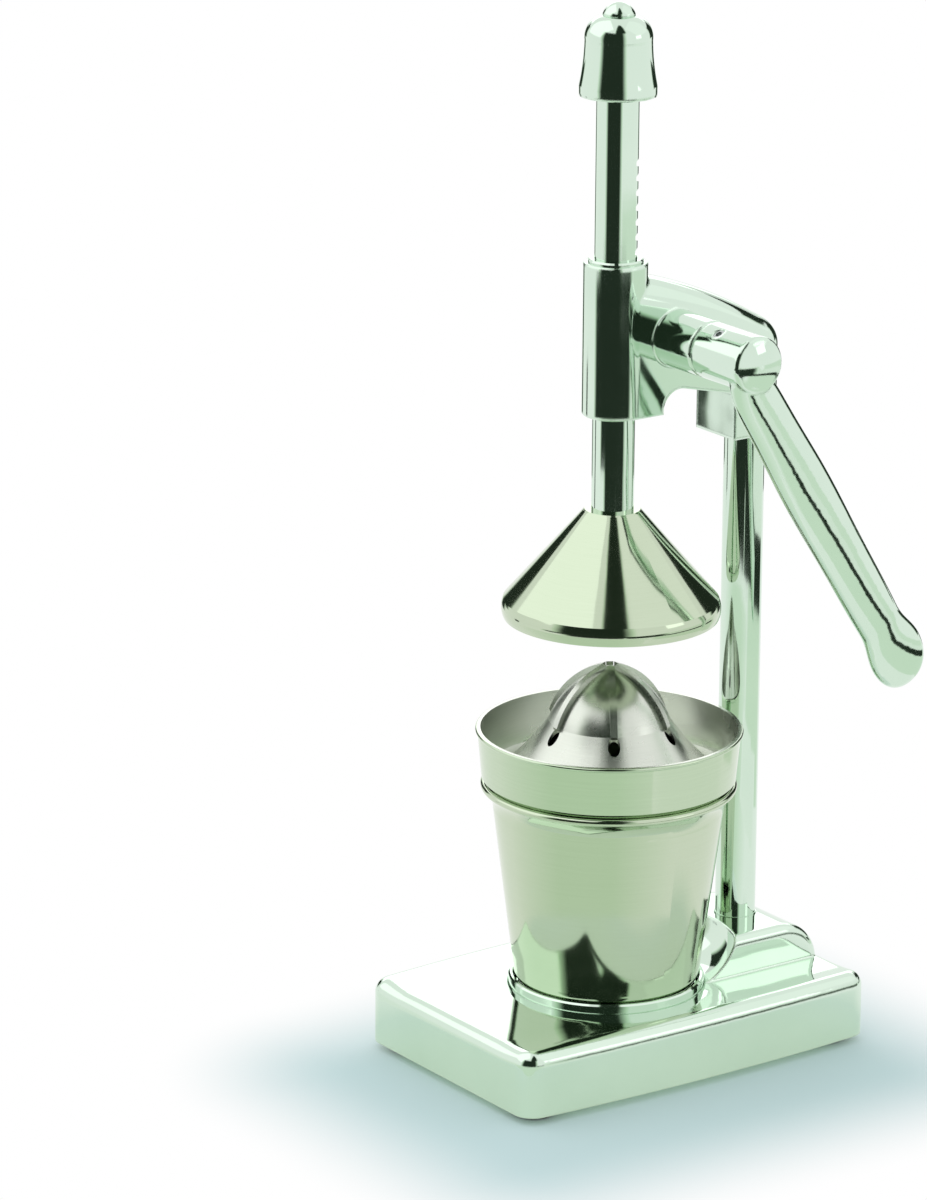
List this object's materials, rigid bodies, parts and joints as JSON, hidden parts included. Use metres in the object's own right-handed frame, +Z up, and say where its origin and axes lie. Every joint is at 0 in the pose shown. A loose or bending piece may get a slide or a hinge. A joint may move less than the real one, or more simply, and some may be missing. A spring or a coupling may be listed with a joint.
{
  "type": "manual juicer",
  "caption": "Upright lever citrus press: a side lever turns a pinion that drives a toothed rod and pressing cone down on a ribbed strainer over a cup.",
  "frame": {"origin": "on the table, under the middle of the whole press seen from above", "axes": "+Z up, +X towards the lever side, -Y towards the front where the cup stands; the rod axis is at x -5.0 mm, y -17.0 mm"},
  "size_m": [0.134, 0.202, 0.4568],
  "materials": {
    "cast_chrome": "mirror chrome plate on castings",
    "bar_chrome": "mirror chrome plate on turned bar",
    "polished_steel": "polished stainless sheet",
    "satin_steel": "satin stainless sheet, brushed round the axis",
    "bronze": "plain turned bronze",
    "gear_steel": "machined, oiled",
    "zinc_steel": "zinc plated",
    "foot_rubber": "matt black"
  },
  "bodies": {
    "stand": {"base": "cast_chrome", "cup_ring": "bar_chrome", "foot_front_left": "foot_rubber", "foot_front_right": "foot_rubber", "foot_rear_left": "foot_rubber", "foot_rear_right": "foot_rubber", "column": "bar_chrome", "tie_rod": "zinc_steel", "tie_washer": "zinc_steel", "tie_nut": "zinc_steel", "head": "cast_chrome", "socket_screw": "zinc_steel", "lower_guide_bush": "bronze", "upper_guide_bush": "bar_chrome", "right_shaft_bush": "bronze", "left_shaft_bush": "bronze"},
    "lever_and_pinion": {"pinion": "gear_steel", "pinion_pin": "gear_steel", "pinion_shaft": "gear_steel", "shaft_end_washer": "zinc_steel", "shaft_end_screw": "zinc_steel", "lever": "cast_chrome", "lever_set_screw": "zinc_steel"},
    "press": {"press_rod": "bar_chrome", "knob": "cast_chrome", "knob_finial": "cast_chrome", "press_cone": "polished_steel", "cone_washer": "zinc_steel", "cone_screw": "zinc_steel"},
    "cup": {"juice_cup": "polished_steel"},
    "sieve": {"strainer": "satin_steel"}
  },
  "joints": [
    {"name": "lever_turn", "type": "hinge", "parent": "stand", "child": "lever_and_pinion", "pos_m": [-0.005, 0.0053, 0.3144], "axis": [1, 0, 0], "range_deg": [-70, 178]},
    {"name": "press_slide", "type": "slide", "parent": "stand", "child": "press", "axis": [0, 0, -1], "range_m": [-0.0197, 0.0499]},
    {"name": "cup_lift", "type": "slide", "parent": "stand", "child": "cup", "axis": [0, 0, 1], "range_m": [0, 0.006]},
    {"name": "strainer_lift", "type": "slide", "parent": "cup", "child": "sieve", "axis": [0, 0, 1], "range_m": [0, 0.003]}
  ],
  "couplings": [
    {"joint": "press_slide", "follows": "lever_turn", "m_per_rad": 0.016}
  ]
}
